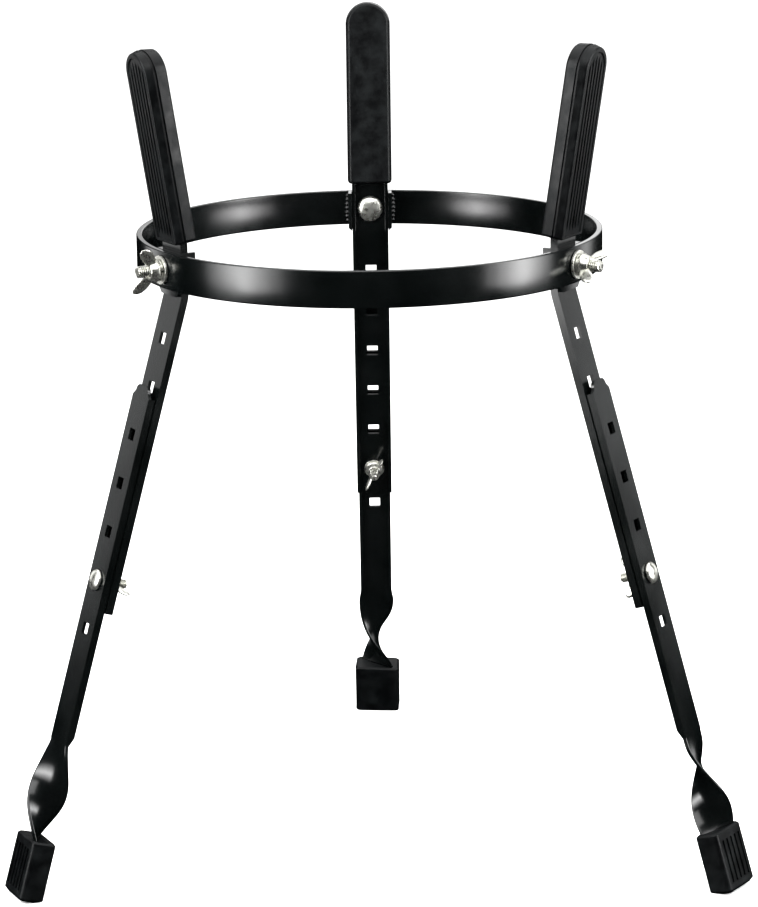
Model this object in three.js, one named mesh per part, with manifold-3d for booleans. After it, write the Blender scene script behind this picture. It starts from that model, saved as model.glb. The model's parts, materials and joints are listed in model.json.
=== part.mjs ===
// Basket stand for one conga: a steel ring with three adjustable legs, each with a rubber pad above and a rubber foot.
// Millimetres, +Z up. Each leg is drawn once with +X pointing away from the ring's axis, then turned into place.
import * as THREE from "three";
import { mergeVertices } from "three/addons/utils/BufferGeometryUtils.js";
import Module from "manifold-3d";

const wasm = await Module();
wasm.setup();

// Driving sizes
const gap = 0.3; // air left between pieces that touch on the bench
const legNames = ["back", "left", "right"];
const firstLegAngle = 90; // degrees round the ring, from +X

const ringOuterRadius = 155;
const ringHeight = 24;
const ringThickness = 4;
const ringBevel = 0.7;

const legWall = 2.2;
const channelDepth = 5.2;
const upperLegWidth = 25.2;
const lowerLegWidth = 23;
const legTilt = 16.8; // degrees from the vertical, outward going down
const armTilt = 9.2; // degrees from the vertical, outward going up
const bendRadius = 16;
const lowerStraight = 17; // the leg stays upright this far below the middle of the ring
const upperStraight = 17;
const holePitch = 32.7;
const legHoleSize = 7.6; // square
const upperHoles = 6;
const lowerHoles = 5;
const lockedUpperHole = 6; // the height bolt goes through this hole of the upper leg
const lockedLowerHole = 4; // and this one of the lower leg, both counted from the top
const firstHoleDrop = 29.2; // from the lower bend to the first hole
const upperLegTail = 19.5; // from the last hole to the end
const tongueAboveHole = 33;
const flangeAboveHole = 25.5;
const lowerChannelLength = 234;

const bracketWall = 2.3;
const bracketWeb = 3;
const bracketDepth = 13;
const bracketDrop = 5; // below the ring
const bracketTaper = 4.5;

const padWidth = 31.4;
const padOuterHalf = 6.6; // from the arm's middle to the ribbed face
const padInnerHalf = 9.2; // and to the smooth face that the drum rests on
const padLength = 127.6;
const padNeck = 5.2; // from the top of the ring to the pad
const padTopWall = 6;
const padParting = 1.2; // the rim at the parting line
const padFaceWidth = 27.6;
const ribCount = 5;
const ribDepth = 0.7;
const ribBorder = 3;

const barWidth = 26;
const barThickness = 2.8;
const barTwist = 175;
const twistLength = 88;
const flareLength = 10;
const barInFoot = 32;
const barToFoot = 64.4; // from the end of the flanges to the foot

const footWidth = 32.4;
const footThickness = 17;
const footLength = 40.6;
const footCorner = 3;
const footChamfer = 2.2;
const footFacetCut = 1.6; // how much of the lowest edge is flattened on the floor

const headRoom = 1.5; // each side of the ring bolt's head, inside the upper leg's channel
const ringBolt = {
  diameter: 7.9, headDiameter: upperLegWidth - 2 * legWall - 2 * headRoom, headHeight: 4.4,
  neckLength: legWall + gap, length: 28,
};
const legBolt = {
  diameter: 6.3, headDiameter: 14, headHeight: 3.6, neckLength: 3.4, length: 22,
};
const ringWasher = { outer: 19, thickness: 1.6 };
const lockWasher = { outer: 14.4, thickness: 2, slot: 1.4, slope: 18 };
const legWasher = { outer: 14.5, thickness: 1.2 };
const ringNut = {
  baseDiameter: 15.5, topDiameter: 11.5, height: 8.5, span: 34, wingHeight: 16, wingThickness: 2.4,
};
const legNut = {
  baseDiameter: 12, topDiameter: 9, height: 7, span: 27, wingHeight: 13, wingThickness: 2,
};
const neckExtra = 0.2; // the square under the head stands this much past the shank
const boltClearance = 0.35; // on the radius, in washers and nuts
const holeClearance = 0.4; // on each side, in the bars

// Finishes
const paintFinish = { color: 0x17191a, roughness: 0.22, metalness: 0 };
const rubberFinish = { color: 0x1c1e20, roughness: 0.55, metalness: 0 };
const zincFinish = { color: 0xd9dad6, roughness: 0.25, metalness: 1 };

const rad = THREE.MathUtils.degToRad;
const ringInnerRadius = ringOuterRadius - ringThickness;

// Solids
function solid(geometry) {
  const plain = geometry.clone();
  plain.deleteAttribute("normal");
  plain.deleteAttribute("uv");
  const merged = mergeVertices(plain, 1e-4);
  return new wasm.Manifold(
    new wasm.Mesh({
      numProp: 3,
      vertProperties: new Float32Array(merged.attributes.position.array),
      triVerts: new Uint32Array(merged.index.array),
    }),
  );
}

function geometryOf(body) {
  const mesh = body.getMesh();
  const geometry = new THREE.BufferGeometry();
  const positions = new Float32Array(mesh.numVert * 3);
  for (let i = 0; i < mesh.numVert; i++)
    for (let k = 0; k < 3; k++) positions[3 * i + k] = mesh.vertProperties[i * mesh.numProp + k];
  geometry.setAttribute("position", new THREE.BufferAttribute(positions, 3));
  geometry.setIndex(new THREE.BufferAttribute(new Uint32Array(mesh.triVerts), 1));
  geometry.computeVertexNormals();
  return geometry;
}

function box(sizeX, sizeY, sizeZ, x = 0, y = 0, z = 0) {
  return solid(new THREE.BoxGeometry(sizeX, sizeY, sizeZ).translate(x, y, z));
}

// A cylinder along X from x0 to x1.
function rod(radius, x0, x1, segments = 40) {
  const geometry = new THREE.CylinderGeometry(radius, radius, x1 - x0, segments);
  return solid(geometry.rotateZ(-Math.PI / 2).translate((x0 + x1) / 2, 0, 0));
}

function union(bodies) {
  return bodies.reduce((sum, body) => sum.add(body));
}

function cutAll(body, tools) {
  return tools.reduce((rest, tool) => rest.subtract(tool), body);
}

// Points in the X, Z plane drawn out along Y, centred on Y = 0.
function drawnAcross(points, width) {
  const shape = new THREE.Shape(points);
  const geometry = new THREE.ExtrudeGeometry(shape, { depth: width, bevelEnabled: false });
  return solid(geometry.rotateX(Math.PI / 2).translate(0, width / 2, 0));
}

// Points in the Y, Z plane drawn out along X from x0 to x1.
function drawnOut(points, x0, x1) {
  const shape = new THREE.Shape(points);
  const geometry = new THREE.ExtrudeGeometry(shape, { depth: x1 - x0, bevelEnabled: false });
  geometry.applyMatrix4(new THREE.Matrix4().makeBasis(
    new THREE.Vector3(0, 1, 0), new THREE.Vector3(0, 0, 1), new THREE.Vector3(1, 0, 0)));
  return solid(geometry.translate(x0, 0, 0));
}

function arcPoints(centreX, centreY, radius, from, to, steps) {
  return Array.from({ length: steps + 1 }, (_, i) => {
    const angle = rad(from + ((to - from) * i) / steps);
    return new THREE.Vector2(centreX + radius * Math.cos(angle), centreY + radius * Math.sin(angle));
  });
}

// A rectangle with rounded corners, centred, as points.
function roundedRectangle(width, height, corner, steps = 4) {
  const x = width / 2 - corner;
  const y = height / 2 - corner;
  return [
    ...arcPoints(x, y, corner, 0, 90, steps),
    ...arcPoints(-x, y, corner, 90, 180, steps),
    ...arcPoints(-x, -y, corner, 180, 270, steps),
    ...arcPoints(x, -y, corner, 270, 360, steps),
  ];
}

// A closed skin through equal rings of points, with flat ends.
function loft(rings) {
  const count = rings[0].length;
  const positions = rings.flat().flatMap((p) => [p.x, p.y, p.z]);
  const index = [];
  for (let r = 0; r + 1 < rings.length; r++)
    for (let i = 0; i < count; i++) {
      const a = r * count + i;
      const b = r * count + ((i + 1) % count);
      index.push(a, b, a + count, b, b + count, a + count);
    }
  for (const [ring, turned] of [[0, true], [rings.length - 1, false]]) {
    const centre = rings[ring].reduce((sum, p) => sum.add(p), new THREE.Vector3()).divideScalar(count);
    const hub = positions.length / 3;
    positions.push(centre.x, centre.y, centre.z);
    for (let i = 0; i < count; i++) {
      const a = ring * count + i;
      const b = ring * count + ((i + 1) % count);
      index.push(...(turned ? [b, a, hub] : [a, b, hub]));
    }
  }
  const geometry = new THREE.BufferGeometry();
  geometry.setAttribute("position", new THREE.Float32BufferAttribute(positions, 3));
  geometry.setIndex(index);
  const body = solid(geometry);
  if (body.volume() > 0) return body;
  geometry.setIndex(index.reverse());
  return solid(geometry);
}

// Where things are on one leg
const bracketOuterX = ringInnerRadius - gap;
const webOuterX = bracketOuterX - bracketWeb - gap; // outer face of the upper leg where it stands upright
const boltSeatX = webOuterX - legWall; // inner face of its web
const downAxis = new THREE.Vector3(Math.sin(rad(legTilt)), 0, -Math.cos(rad(legTilt)));
const outAxis = new THREE.Vector3(Math.cos(rad(legTilt)), 0, Math.sin(rad(legTilt)));
const armAxis = new THREE.Vector3(Math.sin(rad(armTilt)), 0, Math.cos(rad(armTilt)));

// The lower bend's corner on the upper leg's outer face; the leg frame starts there.
const legCorner = new THREE.Vector3(webOuterX, 0, -lowerStraight);
const armCorner = new THREE.Vector3(webOuterX, 0, upperStraight);
const upperHoleDrop = (number) => firstHoleDrop + (number - 1) * holePitch;
const lockDrop = upperHoleDrop(lockedUpperHole);
const lowerHoleDrop = (number) => lockDrop + (number - lockedLowerHole) * holePitch;
const upperLegEnd = upperHoleDrop(upperHoles) + upperLegTail;
const tongueDrop = lowerHoleDrop(1) - tongueAboveHole;
const flangeDrop = lowerHoleDrop(1) - flangeAboveHole;
const channelEnd = flangeDrop + lowerChannelLength;
const footTop = channelEnd + barToFoot;
const footBottom = footTop + footLength;
const lowerFace = gap + channelDepth; // outer face of the lower leg, from the upper leg's outer face
const barCentre = lowerFace - barThickness / 2;

// Leg frame: local X out from the leg's face, local Y across, local -Z down the leg from the bend's corner.
const legFrame = new THREE.Matrix4()
  .makeRotationY(-rad(legTilt))
  .setPosition(legCorner);
// Arm frame: local X out, local Z up the arm from its bend's corner.
const armFrame = new THREE.Matrix4()
  .makeRotationY(rad(armTilt))
  .setPosition(armCorner);

function placed(body, frame) {
  return body.transform(frame.elements);
}

// The side line of the upper leg, offset inward from its outer face, from the arm's top to the leg's end.
function sideLine(inset, armLength, legLength) {
  const line = [];
  const armTop = armCorner.clone().addScaledVector(armAxis, armLength);
  const armIn = new THREE.Vector3(-Math.cos(rad(armTilt)), 0, Math.sin(rad(armTilt)));
  armTop.addScaledVector(armIn, inset);
  line.push(new THREE.Vector2(armTop.x, armTop.z));
  const bends = [
    { corner: armCorner, tilt: armTilt, from: 180 - armTilt, to: 180 },
    { corner: legCorner, tilt: legTilt, from: 180, to: 180 + legTilt },
  ];
  for (const { corner, tilt, from, to } of bends) {
    const run = bendRadius * Math.tan(rad(tilt) / 2);
    const centreZ = corner === armCorner ? corner.z - run : corner.z + run;
    const centreX = webOuterX + bendRadius;
    const arc = arcPoints(centreX, centreZ, bendRadius + inset, from, to, 6);
    line.push(...arc);
  }
  const end = legCorner.clone().addScaledVector(downAxis, legLength).addScaledVector(outAxis, -inset);
  line.push(new THREE.Vector2(end.x, end.z));
  return line;
}

const armLength = padNeck + (ringHeight / 2 - upperStraight) + padLength - padTopWall;

function makeRing() {
  const h = ringHeight / 2;
  const b = ringBevel;
  const profile = [
    [ringInnerRadius + b, -h], [ringOuterRadius - b, -h], [ringOuterRadius, -h + b],
    [ringOuterRadius, h - b], [ringOuterRadius - b, h], [ringInnerRadius + b, h],
    [ringInnerRadius, h - b], [ringInnerRadius, -h + b], [ringInnerRadius + b, -h],
  ].map(([x, y]) => new THREE.Vector2(x, y));
  const hoop = solid(new THREE.LatheGeometry(profile, 120).rotateX(Math.PI / 2));
  const boltHoles = legNames.map((_, i) =>
    rod(ringBolt.diameter / 2 + holeClearance, ringInnerRadius - 5, ringOuterRadius + 5, 32)
      .rotate([0, 0, firstLegAngle + 120 * i]));
  return cutAll(hoop, boltHoles);
}

function makeBracket() {
  const inner = upperLegWidth / 2 + gap;
  const outer = inner + bracketWall;
  const top = ringHeight / 2;
  const bottom = -ringHeight / 2 - bracketDrop;
  const t = bracketTaper;
  const outline = [
    [-outer, top], [-outer, bottom + t], [-outer + t, bottom], [outer - t, bottom],
    [outer, bottom + t], [outer, top],
  ].map(([y, z]) => new THREE.Vector2(y, z));
  const block = drawnOut(outline, ringInnerRadius - bracketDepth, ringInnerRadius);
  const curved = solid(new THREE.CylinderGeometry(bracketOuterX, bracketOuterX, 100, 256).rotateX(Math.PI / 2));
  const slot = box(bracketDepth, 2 * inner, 100, webOuterX + gap - bracketDepth / 2, 0, 0);
  const hole = rod(ringBolt.diameter / 2 + holeClearance, webOuterX - 10, ringOuterRadius, 32);
  return cutAll(block.intersect(curved), [slot, hole]);
}

function squareHole(size, drop, x0, x1) {
  return box(x1 - x0, size, size, (x0 + x1) / 2, 0, -drop);
}

function makeUpperLeg() {
  const face = sideLine(0, armLength, upperLegEnd);
  const back = sideLine(channelDepth, armLength, upperLegEnd);
  const webBack = sideLine(legWall, armLength + 20, upperLegEnd + 20);
  const farBack = sideLine(channelDepth + 5, armLength + 20, upperLegEnd + 20);
  const bar = drawnAcross([...face, ...back.reverse()], upperLegWidth);
  const trough = drawnAcross([...webBack, ...farBack.reverse()], upperLegWidth - 2 * legWall);
  const width = upperLegWidth / 2;
  const archTop = armLength;
  const arch = [
    new THREE.Vector2(-40, archTop + 10), new THREE.Vector2(-40, archTop - width),
    ...arcPoints(0, archTop - width, width, 180, 0, 20),
    new THREE.Vector2(40, archTop - width), new THREE.Vector2(40, archTop + 10),
  ];
  const roundOff = placed(drawnOut(arch, -20, 20), armFrame);
  const holes = Array.from({ length: upperHoles }, (_, i) =>
    placed(squareHole(legHoleSize, upperHoleDrop(i + 1), -10, 5), legFrame));
  const neckHole = squareHole(ringBolt.diameter + 2 * holeClearance, 0, boltSeatX - 5, webOuterX + 5);
  return cutAll(bar, [trough, roundOff, neckHole, ...holes]);
}

// The twisted flat bar, from inside the flanges to its end in the foot, with spare room all round for the foot's pocket.
function makeTwistedBar(spare = 0) {
  const start = channelEnd - 2;
  const end = footTop + barInFoot + spare;
  const steps = 44;
  const corner = 0.6;
  const rings = [];
  for (let i = 0; i <= steps; i++) {
    const drop = start + ((end - start) * i) / steps;
    const turned = THREE.MathUtils.smoothstep(drop, channelEnd - 2, channelEnd - 2 + twistLength);
    const flare = THREE.MathUtils.smoothstep(drop, channelEnd - 2, channelEnd + flareLength);
    const width = THREE.MathUtils.lerp(lowerLegWidth - 0.4, barWidth, flare);
    const angle = rad(barTwist * turned);
    rings.push(roundedRectangle(barThickness - 0.2 + 2 * spare, width + 2 * spare, corner, 1).map((p) => new THREE.Vector3(
      barCentre + p.x * Math.cos(angle) - p.y * Math.sin(angle),
      p.x * Math.sin(angle) + p.y * Math.cos(angle),
      -drop)));
  }
  return loft(rings);
}

function makeLowerLeg() {
  const half = lowerLegWidth / 2;
  const tongueHalf = half - 3;
  const length = channelEnd - flangeDrop;
  const middle = -(channelEnd + flangeDrop) / 2;
  const channel = box(channelDepth, lowerLegWidth, length, lowerFace - channelDepth / 2, 0, middle);
  const trough = box(
    channelDepth, lowerLegWidth - 2 * legWall, length + 10,
    lowerFace - legWall - channelDepth / 2, 0, middle);
  const tongueOutline = [
    new THREE.Vector2(-half, -flangeDrop - 1), new THREE.Vector2(half, -flangeDrop - 1),
    new THREE.Vector2(half, -flangeDrop),
    ...arcPoints(tongueHalf - 4.5, -tongueDrop - 4.5, 4.5, 0, 90, 8),
    ...arcPoints(4.5 - tongueHalf, -tongueDrop - 4.5, 4.5, 90, 180, 8),
    new THREE.Vector2(-half, -flangeDrop),
  ];
  const tongue = drawnOut(tongueOutline, lowerFace - legWall, lowerFace);
  // the flanges run out on a slope above the twisted bar
  const slope = [
    [-gap - 2, -channelEnd + flareLength + 2], [lowerFace - legWall, -channelEnd],
    [lowerFace - legWall, -channelEnd - 20], [-gap - 2, -channelEnd - 20],
  ].map(([x, z]) => new THREE.Vector2(x, z));
  const holes = Array.from({ length: lowerHoles }, (_, i) =>
    squareHole(legHoleSize, lowerHoleDrop(i + 1), lowerFace - channelDepth - 2, lowerFace + 2));
  const bar = cutAll(channel, [trough, drawnAcross(slope, 60)]);
  return placed(cutAll(union([bar, tongue, makeTwistedBar()]), holes), legFrame);
}

// A pad outline in the Y, Z plane: a straight slot shape with a round top.
function archOutline(width, bottom, top, corner) {
  const r = width / 2;
  return [
    ...arcPoints(r - corner, bottom + corner, corner, 270, 360, 3),
    ...arcPoints(0, top - r, r, 0, 180, 24),
    ...arcPoints(-r + corner, bottom + corner, corner, 180, 270, 3),
  ];
}

const padBottomUp = padNeck + ringHeight / 2 - upperStraight; // up the arm from its bend's corner
const padTopUp = padBottomUp + padLength;

function makePad() {
  const draft = (padWidth - padFaceWidth) / 2;
  const middle = -channelDepth / 2;
  const rings = [
    [-padInnerHalf, draft], [-padParting / 2, 0], [padParting / 2, 0], [padOuterHalf, draft],
  ].map(([x, inset]) =>
    archOutline(padWidth - 2 * inset, padBottomUp + inset * 0.4, padTopUp - inset, 1.5)
      .map((p) => new THREE.Vector3(middle + x, p.x, p.y)));
  const pocketWidth = upperLegWidth + 2 * gap;
  const pocket = drawnOut(
    archOutline(pocketWidth, padBottomUp - 20, armLength + gap, 1),
    middle - channelDepth / 2 - gap, middle + channelDepth / 2 + gap);
  // grooves between the ribs of the outer face
  const field = padFaceWidth - 2 * ribBorder;
  const grooves = ribCount + 1;
  const grooveWidth = field / (2 * grooves - 1);
  const cuts = Array.from({ length: grooves }, (_, i) => {
    const y = -field / 2 + grooveWidth / 2 + 2 * grooveWidth * i;
    const reach = Math.sqrt((padFaceWidth / 2 - ribBorder) ** 2 - Math.min(Math.abs(y), field / 2) ** 2 * 0.9);
    const top = padTopUp - draft - padFaceWidth / 2 + reach;
    const bottom = padBottomUp + 5;
    return box(2 * ribDepth, grooveWidth, top - bottom, middle + padOuterHalf, y, (top + bottom) / 2);
  });
  return placed(cutAll(loft(rings), [pocket, ...cuts]), armFrame);
}

function makeFoot() {
  const angle = barTwist - 180;
  const half = footThickness / 2;
  const section = roundedRectangle(footThickness, footWidth, footCorner, 4);
  const ringAt = (drop, inset) => {
    const shrink = new THREE.Vector2(1 - (2 * inset) / footThickness, 1 - (2 * inset) / footWidth);
    return section.map((p) => new THREE.Vector3(p.x * shrink.x, p.y * shrink.y, -drop));
  };
  const block = loft([
    ringAt(footTop, 1.2), ringAt(footTop + 1.2, 0),
    ringAt(footBottom - footChamfer, 0), ringAt(footBottom, footChamfer),
  ]);
  const field = footWidth - 2 * (footCorner + 2);
  const grooves = 5;
  const grooveWidth = field / (2 * grooves - 1);
  const cuts = Array.from({ length: grooves }, (_, i) =>
    box(1.8, grooveWidth, footLength - 12, half, -field / 2 + grooveWidth / 2 + 2 * grooveWidth * i,
      -(footTop + footLength / 2)));
  const turned = cutAll(block, cuts).rotate([0, 0, angle]).translate([barCentre, 0, 0]);
  return placed(cutAll(turned, [makeTwistedBar(gap)]), legFrame);
}

// Floor height, from the foot's lowest edge.
const lowestEdge = new THREE.Vector3(barCentre - footThickness / 2 + footChamfer, 0, -footBottom).applyMatrix4(legFrame);
const floorZ = lowestEdge.z + footFacetCut;

function standOnFloor(foot) {
  return foot.subtract(box(200, 200, 100, lowestEdge.x, 0, floorZ - 50));
}

// Fasteners are drawn along X, with the seat of the head at X = 0 and the threads towards +X.
function makeBolt({ diameter, headDiameter, headHeight, neckLength, length }) {
  const r = headDiameter / 2;
  const edge = 0.6;
  const cap = headHeight - edge;
  const domeRadius = (r * r + cap * cap) / (2 * cap);
  const sweep = THREE.MathUtils.radToDeg(Math.asin(r / domeRadius));
  const dome = arcPoints(0, domeRadius - headHeight, domeRadius, -90, -90 + sweep, 5);
  dome[0].x = 0;
  const shankRadius = diameter / 2;
  const profile = [
    ...dome, new THREE.Vector2(r, 0), new THREE.Vector2(shankRadius, 0),
    new THREE.Vector2(shankRadius, length - 0.8), new THREE.Vector2(shankRadius - 0.8, length),
    new THREE.Vector2(0, length),
  ];
  const turned = solid(new THREE.LatheGeometry(profile, 32).rotateZ(-Math.PI / 2));
  const neck = diameter + neckExtra;
  return turned.add(box(neckLength + 1, neck, neck, (neckLength - 1) / 2, 0, 0));
}

function makeWasher(outer, thickness, boltDiameter) {
  return rod(outer / 2, 0, thickness, 32).subtract(rod(boltDiameter / 2 + boltClearance, -1, thickness + 1, 32));
}

function makeLockWasher() {
  const slot = box(40, 40, lockWasher.slot, 0, 20, 0).rotate([0, 0, lockWasher.slope]);
  return makeWasher(lockWasher.outer, lockWasher.thickness, ringBolt.diameter)
    .subtract(slot.rotate([0, 0, -90 + lockWasher.slope]).translate([lockWasher.thickness / 2, 0, 0]));
}

function makeWingNut({ baseDiameter, topDiameter, height, span, wingHeight, wingThickness }, boltDiameter) {
  const base = baseDiameter / 2;
  const top = topDiameter / 2;
  const profile = [
    [0, 0], [base, 0], [base, 1.2], [top, height - 0.8], [top - 0.8, height], [0, height],
  ].map(([x, y]) => new THREE.Vector2(x, y));
  const hub = solid(new THREE.LatheGeometry(profile, 32).rotateZ(-Math.PI / 2));
  const lobe = span * 0.17;
  const wing = [1, -1].map((side) => {
    const outline = [
      new THREE.Vector2(2, height * 0.28), new THREE.Vector2(top + 1, height * 0.3),
      ...arcPoints(span / 2 - lobe, wingHeight - lobe, lobe, -50, 150, 14),
      new THREE.Vector2(top - 0.5, height * 0.9), new THREE.Vector2(2, height * 0.9),
    ];
    const plate = new THREE.ExtrudeGeometry(new THREE.Shape(outline), { depth: wingThickness, bevelEnabled: false });
    plate.translate(0, 0, -wingThickness / 2).rotateZ(-Math.PI / 2).rotateX(side > 0 ? 0 : Math.PI);
    return solid(plate);
  });
  return union([hub, ...wing]).subtract(rod(boltDiameter / 2 + boltClearance, -1, height + 20, 32));
}

// Assembly
function addMesh(parent, name, body, finish) {
  const mesh = new THREE.Mesh(geometryOf(body), new THREE.MeshStandardMaterial(finish));
  mesh.name = name;
  parent.add(mesh);
  return mesh;
}

const stand = new THREE.Group();
stand.name = "conga_stand";
addMesh(stand, "ring", makeRing(), paintFinish);

const pieces = {
  bracket: [makeBracket(), paintFinish],
  upper_leg: [makeUpperLeg(), paintFinish],
  lower_leg: [makeLowerLeg(), paintFinish],
  pad: [makePad(), rubberFinish],
  foot: [standOnFloor(makeFoot()), rubberFinish],
};
const fasteners = {
  ring_bolt: makeBolt(ringBolt),
  ring_washer: makeWasher(ringWasher.outer, ringWasher.thickness, ringBolt.diameter),
  ring_lock_washer: makeLockWasher(),
  ring_wing_nut: makeWingNut(ringNut, ringBolt.diameter),
  leg_bolt: makeBolt(legBolt),
  leg_washer: makeWasher(legWasher.outer, legWasher.thickness, legBolt.diameter),
  leg_wing_nut: makeWingNut(legNut, legBolt.diameter),
};

const ringWasherX = ringOuterRadius + gap;
const lockWasherX = ringWasherX + ringWasher.thickness + gap;
const ringNutX = lockWasherX + lockWasher.thickness + gap;
const legWasherX = -legWall - gap; // leg frame, going inward
const legNutX = legWasherX - legWasher.thickness - gap;
const nutTurns = { // degrees round the bolt, where each nut was left
  back: { ring: 20, leg: 58 }, left: { ring: 70, leg: 12 }, right: { ring: 33, leg: 100 },
};

legNames.forEach((name, i) => {
  const leg = new THREE.Group();
  leg.name = `${name}_leg`;
  leg.rotation.z = rad(firstLegAngle + 120 * i);
  stand.add(leg);
  for (const [piece, [body, finish]] of Object.entries(pieces)) addMesh(leg, `${name}_${piece}`, body, finish);

  const ringBoltAxis = [
    ["ring_bolt", boltSeatX - gap, 0], ["ring_washer", ringWasherX, 0],
    ["ring_lock_washer", lockWasherX, 0], ["ring_wing_nut", ringNutX, nutTurns[name].ring],
  ];
  for (const [piece, x, turn] of ringBoltAxis) {
    const mesh = addMesh(leg, `${name}_${piece}`, fasteners[piece], zincFinish);
    mesh.position.x = x;
    mesh.rotation.x = rad(turn);
  }

  // the height bolt's head is outside, so its group points inward
  const lock = new THREE.Group();
  lock.name = `${name}_lock`;
  lock.position.copy(new THREE.Vector3(0, 0, -lockDrop).applyMatrix4(legFrame));
  lock.rotation.y = Math.PI - rad(legTilt);
  leg.add(lock);
  const lockAxis = [
    ["leg_bolt", -(lowerFace + gap), 0], ["leg_washer", -legWasherX, 0],
    ["leg_wing_nut", -legNutX, nutTurns[name].leg],
  ];
  for (const [piece, x, turn] of lockAxis) {
    const mesh = addMesh(lock, `${name}_${piece}`, fasteners[piece], zincFinish);
    mesh.position.x = x;
    mesh.rotation.x = rad(turn);
  }
});

// The origin is the middle of the bounding box's bottom, on the floor.
const bounds = new THREE.Box3().setFromObject(stand, true);
stand.position.set(-(bounds.min.x + bounds.max.x) / 2, -(bounds.min.y + bounds.max.y) / 2, -bounds.min.z);

const root = new THREE.Group();
root.add(stand);
export default root;
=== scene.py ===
import json
import math
import bmesh
import bpy
from mathutils import Matrix, Vector, noise


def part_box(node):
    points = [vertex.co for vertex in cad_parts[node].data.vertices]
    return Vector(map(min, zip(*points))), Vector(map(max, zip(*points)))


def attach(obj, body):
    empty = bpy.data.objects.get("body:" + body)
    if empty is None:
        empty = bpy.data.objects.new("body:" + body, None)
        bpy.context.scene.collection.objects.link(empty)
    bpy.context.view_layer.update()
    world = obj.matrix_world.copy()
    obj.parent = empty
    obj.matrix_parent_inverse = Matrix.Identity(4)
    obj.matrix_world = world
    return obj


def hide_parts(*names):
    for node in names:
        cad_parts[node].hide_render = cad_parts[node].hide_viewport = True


# Conga basket stand: a painted steel ring and three legs, with rubber pads and feet and zinc fasteners.
# The frame's own axes, in metres. Sizes in the dictionaries are mm unless a note says otherwise.

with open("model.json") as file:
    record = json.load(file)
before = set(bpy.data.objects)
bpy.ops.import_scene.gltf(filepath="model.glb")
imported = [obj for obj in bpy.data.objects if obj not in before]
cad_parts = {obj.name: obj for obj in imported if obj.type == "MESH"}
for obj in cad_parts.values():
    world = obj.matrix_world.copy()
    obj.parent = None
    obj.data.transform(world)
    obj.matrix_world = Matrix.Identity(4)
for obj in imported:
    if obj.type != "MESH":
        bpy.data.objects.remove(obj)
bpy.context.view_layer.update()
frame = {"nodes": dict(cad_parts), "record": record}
record = frame["record"]
bodyOfNode = {node: body for body, nodes in record["behaviour"]["bodies"].items() for node in nodes}
jointByName = {joint["name"]: joint for joint in record["behaviour"]["joints"]}
legNames = ["back", "left", "right"]
print("frame loaded:", len(frame["nodes"]), "nodes")


def mm(value):
    return value / 1000


ringLow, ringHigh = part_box("ring")
ringMiddle = (ringLow + ringHigh) / 2


def hexColour(text):
    channels = [int(text[i:i + 2], 16) / 255 for i in (1, 3, 5)]
    linear = [c / 12.92 if c <= 0.04045 else ((c + 0.055) / 1.055) ** 2.4 for c in channels]
    return (*linear, 1.0)


def addNode(tree, kind, settings=None, links=None):
    node = tree.nodes.new(kind)
    for name, value in (settings or {}).items():
        if name in node.inputs.keys():
            node.inputs[name].default_value = value
        else:
            setattr(node, name, value)
    for name, source in (links or {}).items():
        tree.links.new(source, node.inputs[name])
    return node


def newMaterial(name, shaderSettings):
    material = bpy.data.materials.new(name)
    material.use_nodes = True
    tree = material.node_tree
    shader = tree.nodes["Principled BSDF"]
    for socket, value in shaderSettings.items():
        shader.inputs[socket].default_value = value
    place = addNode(tree, "ShaderNodeTexCoord")
    return material, tree, shader, place.outputs["Object"]


def patternScale(size):
    # a noise node's scale for features of this size in mm
    return 1000 / size


def rampColours(tree, source, stops):
    ramp = addNode(tree, "ShaderNodeValToRGB", links={"Fac": source})
    elements = ramp.color_ramp.elements
    elements[0].position, elements[0].color = stops[0]
    elements[1].position, elements[1].color = stops[-1]
    for position, colour in stops[1:-1]:
        elements.new(position).color = colour
    return ramp.outputs["Color"]


enamelLook = {
    "colour": "#040606", "worn": "#0a0d0d", "wornFrom": 0.35, "wornTo": 0.75, "ior": 1.5,
    "roughness": 0.16, "dulling": 0.1, "dustSize": 34,
    "peelSize": 2.2, "peelStrength": 0.1, "peelDepth": 0.02,
}


def makeEnamel():
    # gloss black enamel, sprayed on steel and stoved: deep black with sharp reflections that ripple a little
    look = enamelLook
    material, tree, shader, place = newMaterial(
        "gloss_black_enamel", {"Roughness": look["roughness"], "IOR": look["ior"]})
    cloud = addNode(tree, "ShaderNodeTexNoise", {"Scale": patternScale(look["dustSize"]), "Detail": 4.0},
                    {"Vector": place})
    colour = rampColours(tree, cloud.outputs["Fac"], [
        (look["wornFrom"], hexColour(look["colour"])), (look["wornTo"], hexColour(look["worn"]))])
    tree.links.new(colour, shader.inputs["Base Color"])
    gloss = addNode(tree, "ShaderNodeMapRange",
                    {"From Min": 0.3, "From Max": 0.8,
                     "To Min": look["roughness"], "To Max": look["roughness"] + look["dulling"]},
                    {"Value": cloud.outputs["Fac"]})
    tree.links.new(gloss.outputs["Result"], shader.inputs["Roughness"])
    peel = addNode(tree, "ShaderNodeTexNoise", {"Scale": patternScale(look["peelSize"]), "Detail": 2.0},
                   {"Vector": place})
    bump = addNode(tree, "ShaderNodeBump",
                   {"Strength": look["peelStrength"], "Distance": mm(look["peelDepth"])},
                   {"Height": peel.outputs["Fac"]})
    tree.links.new(bump.outputs["Normal"], shader.inputs["Normal"])
    return material


rubberLook = {
    "colour": "#040506", "bloom": "#0e1213", "bloomFrom": 0.4, "bloomTo": 0.8, "bloomSize": 11,
    "ior": 1.52, "specular": 0.2, "roughness": 0.36, "polish": 0.06, "dulling": 0.22,
    "grainSize": 0.9, "grainStrength": 0.25, "grainDepth": 0.06,
}


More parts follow.
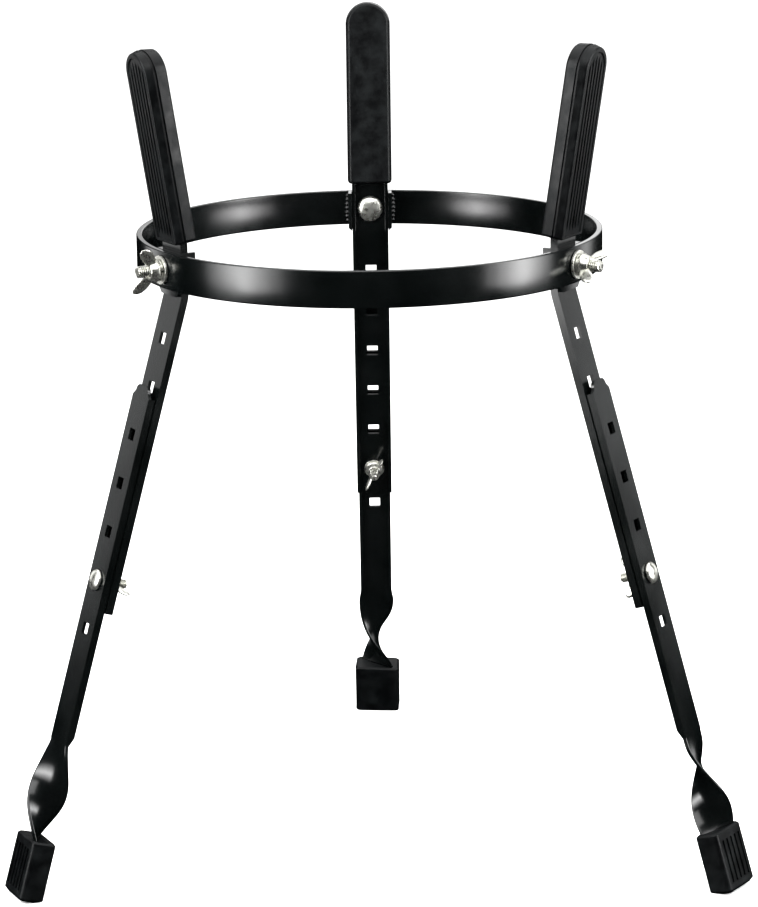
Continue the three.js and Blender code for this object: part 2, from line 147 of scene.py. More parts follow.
def makeRubber():
    # nitrile rubber, pressed in a polished mould: satin black with a faint grey bloom and a soft broad shine
    look = rubberLook
    material, tree, shader, place = newMaterial(
        "moulded_black_rubber", {"IOR": look["ior"], "Specular IOR Level": look["specular"]})
    bloom = addNode(tree, "ShaderNodeTexNoise",
                    {"Scale": patternScale(look["bloomSize"]), "Detail": 5.0, "Roughness": 0.6},
                    {"Vector": place})
    colour = rampColours(tree, bloom.outputs["Fac"], [
        (look["bloomFrom"], hexColour(look["colour"])), (look["bloomTo"], hexColour(look["bloom"]))])
    tree.links.new(colour, shader.inputs["Base Color"])
    satin = addNode(tree, "ShaderNodeMapRange",
                    {"From Min": 0.3, "From Max": 0.75,
                     "To Min": look["roughness"] - look["polish"],
                     "To Max": look["roughness"] + look["dulling"]},
                    {"Value": bloom.outputs["Fac"]})
    tree.links.new(satin.outputs["Result"], shader.inputs["Roughness"])
    # the mould's fine texture, drawn coarser than it is so that it shows
    grain = addNode(tree, "ShaderNodeTexNoise", {"Scale": patternScale(look["grainSize"]), "Detail": 3.0},
                    {"Vector": place})
    bump = addNode(tree, "ShaderNodeBump",
                   {"Strength": look["grainStrength"], "Distance": mm(look["grainDepth"])},
                   {"Height": grain.outputs["Fac"]})
    tree.links.new(bump.outputs["Normal"], shader.inputs["Normal"])
    return material


zincLook = {
    "colour": "#dadad4", "shade": "#b6b6ae", "shadeTo": 0.3, "colourFrom": 0.6, "metallic": 0.95,
    "roughness": 0.22, "scuffing": 0.14, "patchSize": 3.5, "patchStrength": 0.15, "patchDepth": 0.03,
}


def makeZinc():
    # bright zinc plate on rolled steel: silver white with faint milky patches and fine scuffs
    look = zincLook
    material, tree, shader, place = newMaterial("bright_zinc_plate", {"Metallic": look["metallic"]})
    patches = addNode(tree, "ShaderNodeTexNoise", {"Scale": patternScale(look["patchSize"]), "Detail": 6.0},
                      {"Vector": place})
    colour = rampColours(tree, patches.outputs["Fac"], [
        (look["shadeTo"], hexColour(look["shade"])), (look["colourFrom"], hexColour(look["colour"]))])
    tree.links.new(colour, shader.inputs["Base Color"])
    scuff = addNode(tree, "ShaderNodeMapRange",
                    {"From Min": 0.3, "From Max": 0.7,
                     "To Min": look["roughness"], "To Max": look["roughness"] + look["scuffing"]},
                    {"Value": patches.outputs["Fac"]})
    tree.links.new(scuff.outputs["Result"], shader.inputs["Roughness"])
    bump = addNode(tree, "ShaderNodeBump",
                   {"Strength": look["patchStrength"], "Distance": mm(look["patchDepth"])},
                   {"Height": patches.outputs["Fac"]})
    tree.links.new(bump.outputs["Normal"], shader.inputs["Normal"])
    return material


enamel = makeEnamel()
rubber = makeRubber()
zinc = makeZinc()
print("materials made")


def addPiece(name, mesh, material, body, replaced):
    piece = bpy.data.objects.new(name, mesh)
    bpy.context.scene.collection.objects.link(piece)
    piece.data.materials.clear()
    piece.data.materials.append(material)
    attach(piece, body)
    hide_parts(*replaced)
    return piece


# angles in degrees above which an edge stays sharp in the light
creases = {"loft": 32, "eased": 40, "thread": 50}


def smoothByAngle(mesh, degrees):
    mesh.polygons.foreach_set("use_smooth", [True] * len(mesh.polygons))
    mesh.set_sharp_from_angle(angle=math.radians(degrees))


def bakeModifiers(piece):
    evaluated = piece.evaluated_get(bpy.context.evaluated_depsgraph_get())
    baked = bpy.data.meshes.new_from_object(evaluated)
    piece.modifiers.clear()
    piece.data = baked


def easeEdges(piece, width, segments, angle):
    bevel = piece.modifiers.new("edge", "BEVEL")
    bevel.width = width
    bevel.segments = segments
    bevel.limit_method = "ANGLE"
    bevel.angle_limit = math.radians(angle)
    bevel.harden_normals = False
    bevel.use_clamp_overlap = True
    bakeModifiers(piece)
    smoothByAngle(piece.data, creases["eased"])


def evenNormals(piece):
    # keeps broad faces flat in the light right up to their eased edges
    weighted = piece.modifiers.new("even", "WEIGHTED_NORMAL")
    weighted.mode = "FACE_AREA"
    weighted.weight = 80
    weighted.keep_sharp = True
    bakeModifiers(piece)


cleaning = {"weld": 0.004, "flat": 0.6}  # mm between points that are one, degrees between faces that are one


def softened(node, name, material, edge):
    # the node's own shape with its edges eased, as a press or a forge leaves them
    mesh = frame["nodes"][node].data.copy()
    work = bmesh.new()
    work.from_mesh(mesh)
    bmesh.ops.remove_doubles(work, verts=work.verts, dist=mm(cleaning["weld"]))
    bmesh.ops.dissolve_limit(
        work, angle_limit=math.radians(cleaning["flat"]), verts=work.verts, edges=work.edges)
    work.to_mesh(mesh)
    work.free()
    piece = addPiece(name, mesh, material, bodyOfNode[node], [node])
    easeEdges(piece, mm(edge["width"]), edge["segments"], edge["angle"])
    return piece


def loftMesh(name, rings, wrap=False):
    # skin through equal rings of points; each ring closes on itself, and the ends are capped unless they meet
    count = len(rings[0])
    verts = [tuple(point) for ring in rings for point in ring]
    faces = []
    spans = len(rings) if wrap else len(rings) - 1
    for i in range(spans):
        near, far = i * count, (i + 1) % len(rings) * count
        for k in range(count):
            following = (k + 1) % count
            faces.append((near + k, near + following, far + following, far + k))
    if not wrap:
        faces.append(tuple(reversed(range(count))))
        faces.append(tuple(spans * count + k for k in range(count)))
    mesh = bpy.data.meshes.new(name)
    mesh.from_pydata(verts, [], faces)
    mesh.validate()
    work = bmesh.new()
    work.from_mesh(mesh)
    bmesh.ops.recalc_face_normals(work, faces=work.faces)
    work.to_mesh(mesh)
    work.free()
    smoothByAngle(mesh, creases["loft"])
    return mesh


def mergeInto(piece, mesh):
    work = bmesh.new()
    work.from_mesh(piece.data)
    work.from_mesh(mesh)
    work.to_mesh(piece.data)
    work.free()
    smoothByAngle(piece.data, creases["eased"])


def roundedProfile(width, height, radius, steps=4):
    points = []
    for signX, signY, start in ((1, 1, 0), (-1, 1, 90), (-1, -1, 180), (1, -1, 270)):
        for i in range(steps + 1):
            angle = math.radians(start + 90 * i / steps)
            points.append(((width / 2 - radius) * signX + radius * math.cos(angle),
                           (height / 2 - radius) * signY + radius * math.sin(angle)))
    return points


def smoothStep(value, low, high):
    share = min(max((value - low) / (high - low), 0), 1)
    return share * share * (3 - 2 * share)


ringSettings = {"thickness": 4.0, "edge": 0.8, "steps": 288}


def makeRing():
    thickness, edge, steps = mm(ringSettings["thickness"]), mm(ringSettings["edge"]), ringSettings["steps"]
    outer = (ringHigh.x - ringLow.x) / 2
    height = ringHigh.z - ringLow.z
    section = roundedProfile(thickness, height, edge)
    rings = []
    for i in range(steps):
        angle = 2 * math.pi * i / steps
        turn = Vector((math.cos(angle), math.sin(angle), 0))
        middle = ringMiddle + turn * (outer - thickness / 2)
        rings.append([middle + turn * x + Vector((0, 0, z)) for x, z in section])
    addPiece("painted_ring", loftMesh("painted_ring", rings, wrap=True), enamel, "stand", ["ring"])


makeRing()
print("ring made")

legSettings = {"boltDrop": 192.7, "boltInset": 8, "channelEnd": 303.1}
armSettings = {"lean": 9.2, "bendRadius": 147.4, "bendHeight": 17}


class Leg:
    # each leg's own directions, from its two bolt axes
    def __init__(self, name):
        ringJoint = jointByName[f"{name}_ring_nut_travel"]
        legJoint = jointByName[f"{name}_leg_nut_travel"]
        self.name = name
        self.radial = Vector(ringJoint["axis"]).normalized()
        self.side = Vector((0, 0, 1)).cross(self.radial).normalized()
        self.out = -Vector(legJoint["axis"]).normalized()
        self.down = self.side.cross(self.out).normalized()
        self.legBoltAt = Vector(jointByName[f"{name}_leg_nut_turn"]["pos_m"])

    def onLeg(self, outward, across, drop):
        # mm from the leg's bend: outward from the joint face, across, and down the leg
        return (self.legBoltAt + self.out * mm(outward + legSettings["boltInset"]) + self.side * mm(across)
                + self.down * mm(drop - legSettings["boltDrop"]))

    def onArm(self, outward, across, upArm):
        # mm from the arm's bend, square to the arm above the ring
        lean = math.radians(armSettings["lean"])
        up = self.radial * math.sin(lean) + Vector((0, 0, math.cos(lean)))
        out = self.radial * math.cos(lean) - Vector((0, 0, math.sin(lean)))
        return (self.onRing(armSettings["bendRadius"], 0, armSettings["bendHeight"]) + out * mm(outward)
                + self.side * mm(across) + up * mm(upArm))

    def onRing(self, radius, across, height):
        # mm from the ring's own middle
        return ringMiddle + self.radial * mm(radius) + self.side * mm(across) + Vector((0, 0, mm(height)))


legs = [Leg(name) for name in legNames]

legEdge = {"width": 0.95, "segments": 4, "angle": 40}
barSettings = {
    "width": 26.0, "thickness": 2.8, "corner": 1.15, "centre": 4.1, "end": 396,
    "startWidth": 23.0, "flare": 10, "twist": 175, "twistLength": 88,
    "lap": 0.6, "turnLead": 2, "steps": 150, "flatSteps": 8,
}


def barSection(thickness, width, corner):
    # rounded edges, with points along the flats so that the twist shades evenly
    outline = roundedProfile(thickness, width, corner)
    flatSteps = barSettings["flatSteps"]
    points = []
    for i, (x, y) in enumerate(outline):
        rise = outline[(i + 1) % len(outline)][1] - y
        points.append((x, y))
        if abs(rise) > width / 2:
            points += [(x, y + rise * k / flatSteps) for k in range(1, flatSteps)]
    return points


def twistedBar(leg):
    # the flat bar below the channel, widening to its full width and turning about its own middle
    bar, channelEnd = barSettings, legSettings["channelEnd"]
    start, turnStart = channelEnd - bar["lap"], channelEnd - bar["turnLead"]
    rings = []
    for i in range(bar["steps"] + 1):
        drop = start + (bar["end"] - start) * i / bar["steps"]
        widening = smoothStep(drop, turnStart, channelEnd + bar["flare"])
        width = bar["startWidth"] + (bar["width"] - bar["startWidth"]) * widening
        turn = math.radians(bar["twist"]) * smoothStep(drop, turnStart, turnStart + bar["twistLength"])
        ring = []
        for x, y in barSection(bar["thickness"], width, bar["corner"]):
            ring.append(leg.onLeg(bar["centre"] + x * math.cos(turn) - y * math.sin(turn),
                                  x * math.sin(turn) + y * math.cos(turn), drop))
        rings.append(ring)
    return loftMesh("twisted_bar", rings)


def makeLowerLeg(leg):
    # the channel is kept down to the bar's start, and the bar is made afresh
    piece = softened(f"{leg.name}_lower_leg", f"{leg.name}_painted_lower_leg", enamel, legEdge)
    work = bmesh.new()
    work.from_mesh(piece.data)
    cut = bmesh.ops.bisect_plane(
        work, geom=work.verts[:] + work.edges[:] + work.faces[:], dist=1e-7,
        plane_co=leg.onLeg(0, 0, legSettings["channelEnd"] - barSettings["lap"]), plane_no=leg.down,
        clear_outer=True)
    edges = [item for item in cut["geom_cut"] if isinstance(item, bmesh.types.BMEdge)]
    bmesh.ops.triangle_fill(work, use_beauty=True, edges=edges)
    work.to_mesh(piece.data)
    work.free()
    mergeInto(piece, twistedBar(leg))
    return piece


# pieces whose broad faces are evened in the light once all of them are made
broadPieces = []

for leg in legs:
    broadPieces.append(softened(f"{leg.name}_upper_leg", f"{leg.name}_painted_upper_leg", enamel, legEdge))
    broadPieces.append(makeLowerLeg(leg))
print("painted legs made")

bracketEdge = {"width": 0.7, "segments": 3, "angle": 40}
beadSettings = {
    "innerRadius": 151.0, "across": 15.4, "overlap": 0.3, "low": -10.5, "high": 10.5, "width": 2.3,
    "ripple": 3.0, "rippleDepth": 0.2, "wobble": 0.18, "wobbleRate": 0.35, "taperPower": 0.35,
    "steps": 60, "around": 12,
}


def weldBead(leg, sign):
    # the weld that holds a bracket to the ring: a rippled bead that thins out at both ends
    bead = beadSettings
    across = sign * (bead["across"] + bead["overlap"])
    radius = math.sqrt(bead["innerRadius"] ** 2 - across ** 2) - bead["overlap"]
    rings = []
    for i in range(bead["steps"] + 1):
        share = i / bead["steps"]
        height = bead["low"] + (bead["high"] - bead["low"]) * share
        taper = math.sin(math.pi * min(max(share, 0.02), 0.98)) ** bead["taperPower"]
        wave = 1 + bead["rippleDepth"] * math.cos(2 * math.pi * height / bead["ripple"])
        # each bead reads its own stretch of the noise
        place = Vector((height * bead["wobbleRate"], sign * 3.1, leg.radial.x * 5))
        size = bead["width"] * taper * wave * (1 + bead["wobble"] * noise.noise(place))
        ring = []
        for k in range(bead["around"]):
            angle = 2 * math.pi * k / bead["around"]
            ring.append(leg.onRing(radius + size * math.cos(angle), across + size * math.sin(angle), height))
        rings.append(ring)
    return loftMesh("weld_bead", rings)


for leg in legs:
    bracket = softened(f"{leg.name}_bracket", f"{leg.name}_welded_bracket", enamel, bracketEdge)
    for sign in (-1, 1):
        mergeInto(bracket, weldBead(leg, sign))
    broadPieces.append(bracket)
print("brackets made")

padSettings = {
    "width": 31.4, "faceWidth": 27.8, "bottom": 0.3, "top": 127.7, "middle": -2.6, "outer": 6.6, "inner": 9.2,
    "roundOuter": 1.5, "roundInner": 2.0, "bottomCorner": 3.0, "innerDraft": 0.75, "outerDraft": 0.6,
    "grooveAt": 0.3, "grooveHalf": 0.9, "grooveDepth": 1.1, "grooveWall": 0.15,
    "lipWidth": 0.35, "lipInset": 0.25, "mouthInset": 0.45, "border": 2.9,
    "bottomShrink": 0.5, "leastCorner": 0.4,
}
ribSettings = {
    "count": 5, "depth": 0.75, "share": 0.6, "spread": 0.55, "topGap": 1.6, "bottomGap": 2.6,
    "root": 0.1, "skirt": 0.2, "proud": 0.05, "crown": 1.5, "leastReach": 2, "leastScale": 0.02,
    "steps": 24, "around": 8,
}
footEdge = {"width": 0.75, "segments": 3, "angle": 30}


def archOutline(inset):
    # a tall arch, round at its top and with small corners at its foot, shrunk by inset
    half = padSettings["width"] / 2 - inset
    top, bottom = padSettings["top"] - inset, padSettings["bottom"] + padSettings["bottomShrink"] * inset
    corner = max(padSettings["leastCorner"], padSettings["bottomCorner"] - inset)
    spring, cornerTop = top - half, bottom + corner
    archSteps, sideSteps, cornerSteps = 40, 12, 6
    points = []
    for i in range(archSteps + 1):
        angle = math.pi * i / archSteps
        points.append((half * math.cos(angle), spring + half * math.sin(angle)))
    for i in range(1, sideSteps):
        points.append((-half, spring + (cornerTop - spring) * i / sideSteps))
    for centre, start in ((corner - half, math.pi), (half - corner, 1.5 * math.pi)):
        for i in range(cornerSteps + 1):
            angle = start + math.pi / 2 * i / cornerSteps
            points.append((centre + corner * math.cos(angle), cornerTop + corner * math.sin(angle)))
    for i in range(1, sideSteps):
        points.append((half, cornerTop + (spring - cornerTop) * i / sideSteps))
    return points


def padStations():
    # how far the outline is drawn in at each depth, from the inner face to the ribbed field of the outer face
    pad, ribDepth = padSettings, ribSettings["depth"]
    draft = (pad["width"] - pad["faceWidth"]) / 2
    inner, outer, roundInner, roundOuter = -pad["inner"], pad["outer"], pad["roundInner"], pad["roundOuter"]
    low, high = pad["grooveAt"] - pad["grooveHalf"], pad["grooveAt"] + pad["grooveHalf"]
    lip, wall = pad["lipWidth"], pad["grooveWall"]
    quarter = [math.pi / 2 * i / 5 for i in range(6)]
    innerRound = [(inner + roundInner * (1 - math.sin(angle)),
                   draft * pad["innerDraft"] + roundInner * (1 - math.cos(angle))) for angle in quarter]
    groove = [(low - lip, pad["lipInset"]), (low, pad["mouthInset"]), (low + wall, pad["grooveDepth"]),
              (high - wall, pad["grooveDepth"]), (high, pad["mouthInset"]), (high + lip, pad["lipInset"])]
    outerRound = [(outer - roundOuter * (1 - math.sin(angle)),
                   draft * pad["outerDraft"] + roundOuter * (1 - math.cos(angle))) for angle in quarter]
    # an eased step from the flat border down to the field that the ribs stand in
    border = draft + pad["border"]
    step = [(outer, border - 0.35), (outer - 0.12, border - 0.1),
            (outer - ribDepth + 0.1, border + 0.15), (outer - ribDepth, border + 0.4)]
    return sorted(innerRound) + groove + outerRound + step


def padRib(leg, across, width):
    # one raised rib, half round at its top end
    pad, rib = padSettings, ribSettings
    field = pad["faceWidth"] / 2 - pad["border"]
    reach = math.sqrt(max(field ** 2 - across ** 2, rib["leastReach"] ** 2))
    top = pad["top"] - pad["width"] / 2 + reach - rib["topGap"]
    bottom = pad["bottom"] + pad["border"] + rib["bottomGap"]
    base = pad["middle"] + pad["outer"] - rib["depth"] - rib["root"]
    rings = []
    for i in range(rib["steps"] + 1):
        share = i / rib["steps"]
        toEnd = min(share, 1 - share) * (top - bottom)
        scale = math.sqrt(max(rib["leastScale"], 1 - max(0, 1 - toEnd / (width / 2)) ** 2))
        upArm = bottom + (top - bottom) * share
        ring = []
        for k in range(rib["around"] + 1):
            angle = math.pi * k / rib["around"]
            height = (rib["depth"] + rib["proud"]) * min(1, rib["crown"] * math.sin(angle)) * scale
            ring.append(leg.onArm(base + height, across + width / 2 * math.cos(angle) * scale, upArm))
        for sign in (-1, 1):
            ring.append(leg.onArm(base - rib["skirt"], across + sign * width / 2 * scale, upArm))
        rings.append(ring)
    return loftMesh("pad_rib", rings)


def makePad(leg):
    pad, rib = padSettings, ribSettings
    name = f"{leg.name}_rubber_pad"
    rings = []
    for depth, inset in padStations():
        rings.append([leg.onArm(pad["middle"] + depth, x, y) for x, y in archOutline(inset)])
    piece = addPiece(name, loftMesh(name, rings), rubber, "stand", [f"{leg.name}_pad"])
    pitch = (pad["faceWidth"] - 2 * pad["border"]) / (rib["count"] + rib["spread"])
    for i in range(rib["count"]):
        mergeInto(piece, padRib(leg, (i - (rib["count"] - 1) / 2) * pitch, pitch * rib["share"]))
    return piece


for leg in legs:
    broadPieces.append(makePad(leg))
    broadPieces.append(softened(f"{leg.name}_foot", f"{leg.name}_rubber_foot", rubber, footEdge))
print("rubber made")

# the seat is the underside of the head: a radius from the ring's middle, or mm out from the leg's joint face
ringBoltSettings = {
    "seat": 144.9, "diameter": 7.9, "headDiameter": 17.8, "headHeight": 4.4, "rim": 0.9, "neckLength": 2.5,
    "length": 28.0, "pitch": 25.4 / 18, "threadStart": 6.0,
}
legBoltSettings = {
    "seat": 5.8, "diameter": 6.3, "headDiameter": 14.0, "headHeight": 3.6, "rim": 0.8, "neckLength": 3.4,
    "length": 22.0, "pitch": 25.4 / 20, "threadStart": 6.0,
}
# a cut thread is about 0.6 of its pitch deep, drawn deeper here so that it shows
threadSettings = {"depth": 0.8, "stepsPerTurn": 10, "around": 48, "crest": 1.2, "slope": 4,
                  "tipLength": 0.9, "tipSlope": 0.8}
headSettings = {"domeSteps": 14, "innerAngle": 2, "neckCorner": 1.3, "neckEase": 0.3, "shankPlay": 0.05}


def boltAxes(axis, seat):
    # local X along the bolt, from the underside of its head
    along = Vector(axis).normalized()
    side = Vector((0, 0, 1)).cross(along).normalized()
    matrix = Matrix((along, side, along.cross(side))).transposed().to_4x4()
    matrix.translation = Vector(seat)
    return matrix


def boltRing(place, along, radiusAt):
    # one ring of points around the bolt, its radius given for each angle
    ring = []
    for k in range(threadSettings["around"]):
        angle = 2 * math.pi * k / threadSettings["around"]
        radius = radiusAt(angle)
        ring.append(place @ Vector((mm(along), mm(radius * math.cos(angle)), mm(radius * math.sin(angle)))))
    return ring


def headProfile(bolt):
    # a low dome over a thin rim, eased into the flat underside: places along the bolt and their radii
    half, rim, steps = bolt["headDiameter"] / 2, bolt["rim"], headSettings["domeSteps"]
    innerAngle = headSettings["innerAngle"]
    profile = []
    for i in range(steps + 1):
        angle = math.radians(innerAngle + (90 - innerAngle) * i / steps)
        profile.append((-rim - (bolt["headHeight"] - rim) * math.cos(angle), half * math.sin(angle)))
    return profile + [(-rim * 0.35, half), (-0.08, half - 0.25), (0, half - 0.6)]


def makeBolt(name, node, bolt, seat, axis):
    place = boltAxes(axis, seat)
    shank = bolt["diameter"] / 2
    start, pitch, length = bolt["threadStart"], bolt["pitch"], bolt["length"]
    tipStart = length - threadSettings["tipLength"]

    def neck(angle):
        # square with eased corners
        square = shank / max(abs(math.cos(angle)), abs(math.sin(angle)))
        return min(square, shank * headSettings["neckCorner"])

    def plain(angle):
        return shank - headSettings["shankPlay"]

    def threadAt(along):
        runIn = smoothStep(along, start, start + pitch)
        tip = max(0, along - tipStart) * threadSettings["tipSlope"]

        def radius(angle):
            phase = (along / pitch - angle / (2 * math.pi)) % 1
            ridge = min(1, max(0, threadSettings["crest"] - abs(phase - 0.5) * threadSettings["slope"]))
            return shank - threadSettings["depth"] * pitch * (1 - ridge) * runIn - tip

        return radius

    rings = [boltRing(place, along, lambda angle: radius) for along, radius in headProfile(bolt)]
    rings.append(boltRing(place, 0, neck))
    rings.append(boltRing(place, bolt["neckLength"] - headSettings["neckEase"], neck))
    rings.append(boltRing(place, bolt["neckLength"], plain))
    rings.append(boltRing(place, start, plain))
    steps = int((length - start) / pitch * threadSettings["stepsPerTurn"])
    for i in range(1, steps + 1):
        along = start + (length - start) * i / steps
        rings.append(boltRing(place, along, threadAt(along)))
    mesh = loftMesh(name, rings)
    smoothByAngle(mesh, creases["thread"])
    addPiece(name, mesh, zinc, bodyOfNode[node], [node])


for leg in legs:
    makeBolt(f"{leg.name}_zinc_ring_bolt", f"{leg.name}_ring_bolt", ringBoltSettings,
             leg.onRing(ringBoltSettings["seat"], 0, 0), leg.radial)
    makeBolt(f"{leg.name}_zinc_leg_bolt", f"{leg.name}_leg_bolt", legBoltSettings,
             leg.onLeg(legBoltSettings["seat"], 0, legSettings["boltDrop"]), -leg.out)
print("bolts made")

washerEdge = {"width": 0.25, "segments": 2, "angle": 35}
ringNutSettings = {"seat": 159.5, "base": 7.7, "top": 5.9, "height": 5.4, "bore": 3.9,
                   "reach": 16.8, "rise": 15.4, "thickness": 2.4}
legNutSettings = {"seat": -4.0, "base": 5.9, "top": 4.5, "height": 4.6, "bore": 3.1,
                  "reach": 13.3, "rise": 12.5, "thickness": 2.0}
# shares of the nut's own sizes and powers of the curve, with the tilt in degrees and the least lobe in mm
wingSettings = {
    "rootOut": 0.55, "rootUp": 0.45, "tipUp": 0.83, "sweep": 0.9, "lift": 1.25, "tilt": 48,
    "lobe": 0.17, "swell": 0.11, "swellTo": 0.9, "leastLobe": 0.12, "roundFrom": 0.72, "square": 0.75,
    "rootThick": 1.15, "thinning": 0.3, "leastThick": 0.25, "steps": 20, "around": 20,
}


def wingDirection(node, axis):
    # which way the wings point, from the node's own widest point
    low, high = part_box(node)
    middle = (low + high) / 2
    widest = Vector((0, 0, 0))
    for vertex in frame["nodes"][node].data.vertices:
        arm = vertex.co - middle
        flat = arm - axis * arm.dot(axis)
        if flat.length > widest.length:
            widest = flat
    return widest.normalized()


def hubRings(nut, at):
    # a tapered hub with eased rims, as places along the bolt and their radii
    height, base, top, bore = nut["height"], nut["base"], nut["top"], nut["bore"]
    profile = [(0, bore), (0, base - 0.5), (0.15, base - 0.15), (0.5, base)]
    for i in range(1, 9):
        share = i / 8
        profile.append((0.5 + (height - 1.1) * share, base + (top - base) * share ** 0.6))
    profile += [(height - 0.2, top - 0.25), (height, top - 0.7), (height, bore)]
    around = 48
    rings = []
    for along, radius in profile:
        angles = [2 * math.pi * k / around for k in range(around)]
        rings.append([at(along, radius * math.cos(angle), radius * math.sin(angle)) for angle in angles])
    return rings


def squared(value):
    # pushes a round section towards a square one
    return math.copysign(abs(value) ** wingSettings["square"], value)


def wingRings(nut, at, sign):
    # the wing leaves the hub low, sweeps up and out, and swells to a round lobe
    wing, tilt = wingSettings, math.radians(wingSettings["tilt"])
    rootOut, rootUp = nut["top"] * wing["rootOut"], nut["height"] * wing["rootUp"]
    rings = []
    for i in range(wing["steps"] + 1):
        share = i / wing["steps"]
        outAt = rootOut + (nut["reach"] - rootOut) * share ** wing["sweep"]
        upAt = rootUp + (nut["rise"] * wing["tipUp"] - rootUp) * share ** wing["lift"]
        pastRound = max(0, (share - wing["roundFrom"]) / (1 - wing["roundFrom"]))
        endRound = math.sqrt(max(0.0, 1 - pastRound ** 2))
        swell = wing["swell"] * math.sin(math.pi * min(1, share * wing["swellTo"]))
        lobe = max(wing["leastLobe"], nut["rise"] * (wing["lobe"] + swell) * endRound)
        thinned = wing["rootThick"] - wing["thinning"] * share
        thick = nut["thickness"] / 2 * thinned * max(wing["leastThick"], endRound)
        ring = []
        for k in range(wing["around"]):
            angle = 2 * math.pi * k / wing["around"]
            along, flat = lobe * squared(math.cos(angle)), thick * squared(math.sin(angle))
            ring.append(at(upAt + along * math.sin(tilt), sign * (outAt - along * math.cos(tilt)), flat))
        rings.append(ring)
    return rings


def makeWingNut(name, node, nut, seat, axis):
    wing = wingDirection(node, axis)
    cross = axis.cross(wing)

    def at(alongAxis, alongWing, alongCross):
        return seat + axis * mm(alongAxis) + wing * mm(alongWing) + cross * mm(alongCross)

    piece = addPiece(name, loftMesh(name, hubRings(nut, at)), zinc, bodyOfNode[node], [node])
    for sign in (-1, 1):
        mergeInto(piece, loftMesh("wing", wingRings(nut, at, sign)))


for leg in legs:
    for part in ("ring_washer", "ring_lock_washer", "leg_washer"):
        broadPieces.append(softened(f"{leg.name}_{part}", f"{leg.name}_zinc_{part}", zinc, washerEdge))
    makeWingNut(f"{leg.name}_zinc_ring_wing_nut", f"{leg.name}_ring_wing_nut", ringNutSettings,
                leg.onRing(ringNutSettings["seat"], 0, 0), leg.radial)
    makeWingNut(f"{leg.name}_zinc_leg_wing_nut", f"{leg.name}_leg_wing_nut", legNutSettings,
                leg.onLeg(legNutSettings["seat"], 0, legSettings["boltDrop"]), -leg.out)
print("washers and nuts made")

for piece in broadPieces:
    evenNormals(piece)
print("broad faces evened")

# degrees, and metres from the ring's middle
cameraSettings = {
    "distance": 2.4543, "elevation": 10.33, "turn": 0.31, "roll": 0.80,
    "aimDrop": 0.14275, "aimSide": 0.00435, "focal": 174.57,
}


def makeCamera():
    view = cameraSettings
    spin = Matrix.Rotation(math.radians(view["turn"]), 3, "Z")
    lift = math.radians(view["elevation"])
    place = spin @ Vector((0, -view["distance"] * math.cos(lift), view["distance"] * math.sin(lift)))
    aim = spin @ Vector((view["aimSide"], 0, -view["aimDrop"]))
    forward = (aim - place).normalized()
    right = forward.cross(Vector((0, 0, 1))).normalized()
    up = right.cross(forward)
    roll = math.radians(view["roll"])
    rolledRight = right * math.cos(roll) - up * math.sin(roll)
    rolledUp = right * math.sin(roll) + up * math.cos(roll)
    matrix = Matrix((rolledRight, rolledUp, -forward)).transposed().to_4x4()
    matrix.translation = place + ringMiddle
    data = bpy.data.cameras.new("camera")
    data.sensor_fit = "HORIZONTAL"
    data.sensor_width = 36
    data.lens = view["focal"]
    data.clip_end = 100
    camera = bpy.data.objects.new("camera", data)
    camera.matrix_world = matrix
    bpy.context.scene.collection.objects.link(camera)
    bpy.context.scene.camera = camera


makeCamera()

# the size in metres, the drop in mm
floorSettings = {"colour": "#f4f4f4", "roughness": 0.9, "specular": 0.1, "size": 60, "drop": 0.2}


def makeFloor():
    # matt white paper, a hair below the feet
    bpy.ops.mesh.primitive_plane_add(size=floorSettings["size"], location=(0, 0, -mm(floorSettings["drop"])))
    floor = bpy.context.object
    floor.name = "studio_floor"
    paper = newMaterial("pale_paper", {
        "Base Color": hexColour(floorSettings["colour"]), "Roughness": floorSettings["roughness"],
        "Specular IOR Level": floorSettings["specular"]})[0]
    floor.data.materials.append(paper)
    floor.visible_glossy = False  # keeps the black gloss from mirroring a white floor


makeFloor()

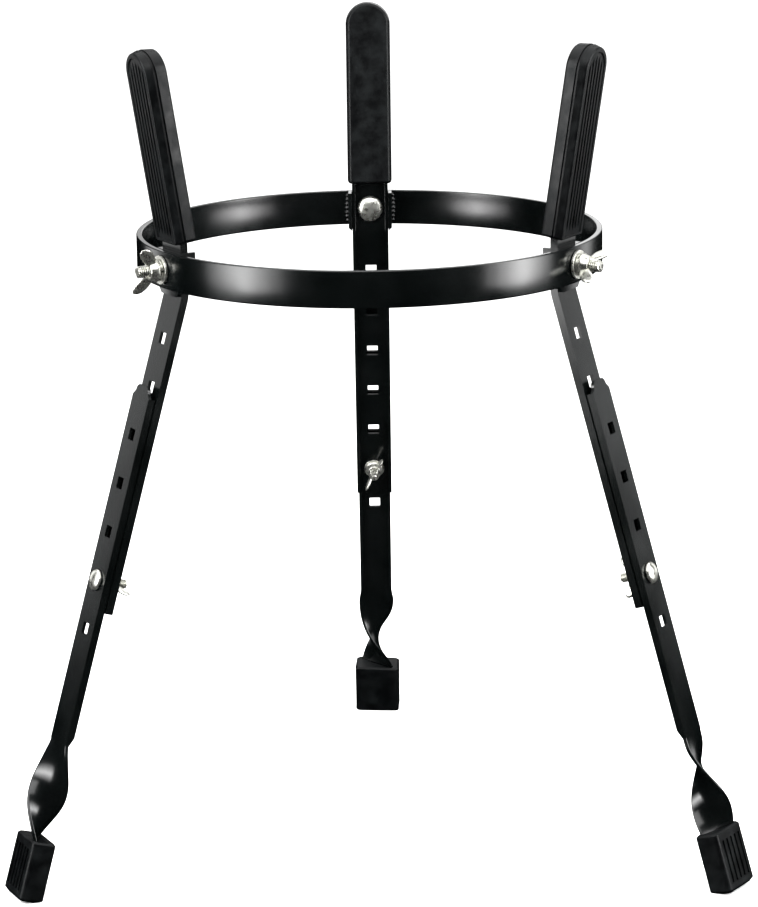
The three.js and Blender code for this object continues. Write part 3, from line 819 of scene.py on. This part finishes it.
# bearings in degrees to the right of the lens, sizes in metres, glow in watts per square metre
panelSettings = {
    "left_panel": {"bearing": -58, "widths": (0.16, 0.34, 0.6, 0.95), "low": 0.1, "high": 1.3, "glow": 10.5},
    "right_panel": {"bearing": 72, "widths": (0.16, 0.34, 0.6, 0.95), "low": 0.1, "high": 1.3, "glow": 10.5},
    "left_side_panel": {"bearing": -122, "widths": (0.2, 0.5), "low": 0.1, "high": 1.0, "glow": 3.2},
    "right_side_panel": {"bearing": 122, "widths": (0.2, 0.5), "low": 0.1, "high": 1.0, "glow": 3.2},
    "back_panel": {"bearing": 172, "widths": (0.5, 1.2), "low": 0.5, "high": 1.4, "glow": 3.0},
}
paneSettings = {"distance": 1.25, "gap": 0.03}
topPanelSettings = {"at": (0, 0, 1.9), "aim": (0, 0.001, 0), "width": 3.0, "depth": 2.6, "power": 62}
frontPanelSettings = {"at": (0.0, -1.5, 1.7), "aim": (0, 0, 0.35), "width": 1.6, "height": 0.7, "power": 16}


def addLight(name, at, aim, width, height, power):
    data = bpy.data.lights.new(name, "AREA")
    data.shape = "RECTANGLE"
    data.size, data.size_y = width, height
    data.energy = power
    lamp = bpy.data.objects.new(name, data)
    lamp.location = at
    lamp.visible_camera = False
    lamp.rotation_euler = (Vector(aim) - Vector(at)).to_track_quat("-Z", "Y").to_euler()
    bpy.context.scene.collection.objects.link(lamp)


def makeLights():
    # each upright panel fades at its sides, so it is made of panes of growing width
    for name, panel in panelSettings.items():
        bearing = math.radians(panel["bearing"])
        middle = (panel["low"] + panel["high"]) / 2
        height = panel["high"] - panel["low"]
        for i, width in enumerate(panel["widths"]):
            distance = paneSettings["distance"] + paneSettings["gap"] * i
            at = (distance * math.sin(bearing), -distance * math.cos(bearing), middle)
            addLight(f"{name}_{i}", at, (0, 0, middle), width, height, panel["glow"] * width * height)
    top, front = topPanelSettings, frontPanelSettings
    addLight("top_panel", top["at"], top["aim"], top["width"], top["depth"], top["power"])
    addLight("front_panel", front["at"], front["aim"], front["width"], front["height"], front["power"])


makeLights()

worldSettings = {"colour": "#ffffff", "strength": 1.15}


def makeWorld():
    world = bpy.data.worlds.new("studio")
    world.use_nodes = True
    background = world.node_tree.nodes["Background"]
    background.inputs["Color"].default_value = hexColour(worldSettings["colour"])
    background.inputs["Strength"].default_value = worldSettings["strength"]
    bpy.context.scene.world = world
    world.cycles_visibility.glossy = False  # the room is dark beyond the light panels


makeWorld()
bpy.context.scene.view_settings.view_transform = "Standard"
bpy.context.scene.view_settings.look = "Medium High Contrast"
print("studio made")
